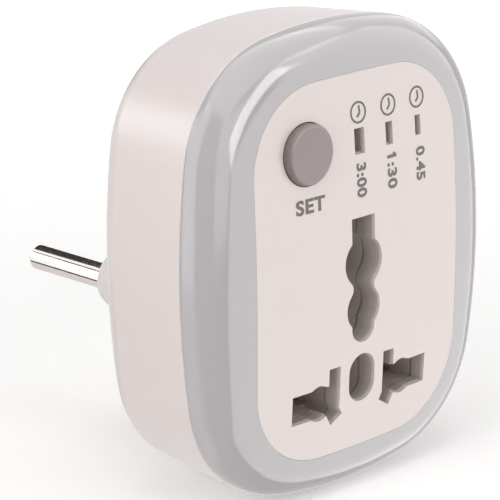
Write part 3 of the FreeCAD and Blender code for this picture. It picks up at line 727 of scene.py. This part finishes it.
floor_height = cad_box[0][2] / MM - floor_gap
corners = [(-1, -1), (1, -1), (1, 1), (-1, 1)]
floor_mesh = bpy.data.meshes.new("floor")
floor_mesh.from_pydata(
    [(x * floor_half * MM, y * floor_half * MM, floor_height * MM) for x, y in corners],
    [], [(0, 1, 2, 3)],
)
floor = add_object("floor", floor_mesh)
floor_paint, shader, places = new_finish("floor_paint", {"Roughness": 0.9, "Specular IOR Level": 0.1})
feed(shader, Base_Color=tint(noise(places, 90.0), (238, 237, 236), (241, 240, 239)))
away = places.node("VectorMath", {"operation": "LENGTH"}, {0: places}, output=1)
level = spread(away, *(reach * MM for reach in glow_reach), *glow_strength)
strength = shown_rays(places.tree) * level
glow = places.node("Emission", {}, {"Color": white, "Strength": strength})
own = Socket(places.tree, shader.outputs[0])
lit = own.node("AddShader", {}, {0: own, 1: glow})
surface = places.tree.nodes["Material Output"].inputs["Surface"]
places.tree.links.new(lit.output, surface)
floor.data.materials.append(floor_paint)
floor.visible_glossy = False
floor.visible_shadow = False

sky = bpy.data.worlds.new("studio")
sky.use_nodes = True
bpy.context.scene.world = sky
level = spread(shown_rays(sky.node_tree), 0.0, 1.0, world_light, world_seen)
backdrop = sky.node_tree.nodes["Background"]
backdrop.inputs["Color"].default_value = white
sky.node_tree.links.new(level.output, backdrop.inputs["Strength"])
bpy.context.scene.view_settings.view_transform = "Standard"


# Studio lamps: three square ones light the part, and the panels, which show only in glossy
# surfaces, are what the bezel, the shell and the pins mirror. All face the same point.
aim = Vector((0, -25, 10))
# Name, turn, rise, tilt, distance, width and height, brightness, and whether only mirrored.
lamps = [
    ("left_lamp", 190, 16, 0, 500, (320, 320), 2.45, False),
    ("front_lamp", 300, 18, 0, 500, (320, 320), 1.28, False),
    ("top_lamp", 230, 80, 0, 500, (320, 320), 2.2, False),
    ("left_panel", 148.5, 14, 0, 600, (378, 700), 2.3, True),
    ("low_left_panel", 148.5, -41, 0, 600, (378, 540), 0.7, True),
    ("corner_panel", 118, 17, 0, 600, (220, 190), 3.5, True),
    ("front_panel", 307.5, -27.5, 0, 600, (960, 660), 2.8, True),
    ("streak_panel", 277.5, 22, 38, 600, (500, 260), 8.2, True),
    ("upper_panel", 324, 24, 0, 600, (540, 500), 2.9, True),
    ("haze_panel", 243, 14, 0, 700, (520, 620), 2.0, True),
    ("side_panel", 14, 30, 0, 600, (400, 440), 1.2, True),
    ("ceiling_panel", 0, 90, 0, 650, (1240, 1240), 2.3, True),
]
for name, turn, rise, tilt, reach, (across, tall), brightness, mirrored in lamps:
    lamp = bpy.data.lights.new(name, "AREA")
    lamp.shape = "RECTANGLE"
    lamp.size = across * MM
    lamp.size_y = tall * MM
    lamp.energy = brightness * math.pi * across * tall * MM ** 2
    turn, rise = math.radians(turn), math.radians(rise)
    away = Vector((math.cos(turn) * math.cos(rise), math.sin(turn) * math.cos(rise), math.sin(rise)))
    stand = add_object(name, lamp)
    facing = away.to_track_quat("Z", "Y").to_matrix() @ Matrix.Rotation(math.radians(tilt), 3, "Z")
    stand.matrix_world = Matrix.Translation((aim + reach * away) * MM) @ facing.to_4x4()
    stand.visible_glossy = mirrored
    stand.visible_diffuse = not mirrored
    stand.visible_camera = False


# Cards round the pins: matt screens that only a glossy surface shows, each a patch of a ball
# round the line pin. They give the chrome the dark and light bands of a real room.
card_centre = (-pin_spacing / 2, pin_length / 2, 0)
card_reach = 80.0
card_lean = (34.0, 52.0)
card_steps = (24, 6)
card_lift = -3
card_felt = {
    "Base Color": (0, 0, 0, 1), "Roughness": 1.0,
    "Specular IOR Level": 0.0, "Emission Strength": 1.0,
}
# Name, first and last turn round the pin, and tone.
cards = [
    ("right_card", -30, 93, (62, 57, 54)),
    ("upper_card", 118, 130, (120, 112, 109)),
    ("lower_card", 209, 224, (52, 48, 47)),
    ("floor_card", 228, 328, (222, 214, 214)),
]
for name, start, end, tone in cards:
    roll = np.radians(np.linspace(start, end, card_steps[0]))[:, None]
    lean = np.radians(np.linspace(*card_lean, card_steps[1]))[None, :]
    patch = card_centre + card_reach * np.stack([
        np.sin(lean) * np.cos(roll),
        np.cos(lean) * np.ones_like(roll),
        np.sin(lean) * np.sin(roll),
    ], axis=-1)
    index = np.arange(patch[..., 0].size).reshape(patch.shape[:2])
    faces = np.stack([index[:-1, :-1], index[1:, :-1], index[1:, 1:], index[:-1, 1:]], axis=-1)
    card_mesh = bpy.data.meshes.new(name)
    card_mesh.from_pydata((patch.reshape(-1, 3) * MM).tolist(), [], faces.reshape(-1, 4).tolist())
    card = add_object(name, card_mesh)
    felt, shader, places = new_finish(name + "_felt", card_felt)
    feed(shader, Emission_Color=tint(noise(places, 40.0), lifted(tone, card_lift), tone))
    card.data.materials.append(felt)
    card.visible_camera = False
    card.visible_diffuse = False
    card.visible_shadow = False
    card.visible_transmission = False


# Camera: a long lens from the front left, a little above the outlet. Its place, roll and
# shift give the photograph's view of the case.
view_turn = -44.25
view_rise = 16.446
view_roll = -0.919
view_distance = 381.27
view_target = (-22.12, -46.5, 17.74)
lens_length = 193.15
sensor_width = 36.0
view_shift = (-0.014, -0.012)
near_clip = 10.0

turn, rise = math.radians(view_turn), math.radians(view_rise)
back = Vector((
    math.sin(turn) * math.cos(rise),
    -math.cos(turn) * math.cos(rise),
    math.sin(rise),
))
right = (-back).cross(Vector((0, 0, 1))).normalized()
up = right.cross(-back)
roll = math.radians(view_roll)
right, up = (
    math.cos(roll) * right + math.sin(roll) * up,
    math.cos(roll) * up - math.sin(roll) * right,
)
lens_data = bpy.data.cameras.new("camera")
lens_data.lens = lens_length
lens_data.sensor_width = sensor_width
lens_data.shift_x, lens_data.shift_y = view_shift
lens_data.clip_start = near_clip * MM
camera = add_object("camera", lens_data)
place = (Vector(view_target) + view_distance * back) * MM
camera.matrix_world = Matrix.Translation(place) @ Matrix((right, up, back)).transposed().to_4x4()
bpy.context.scene.camera = camera
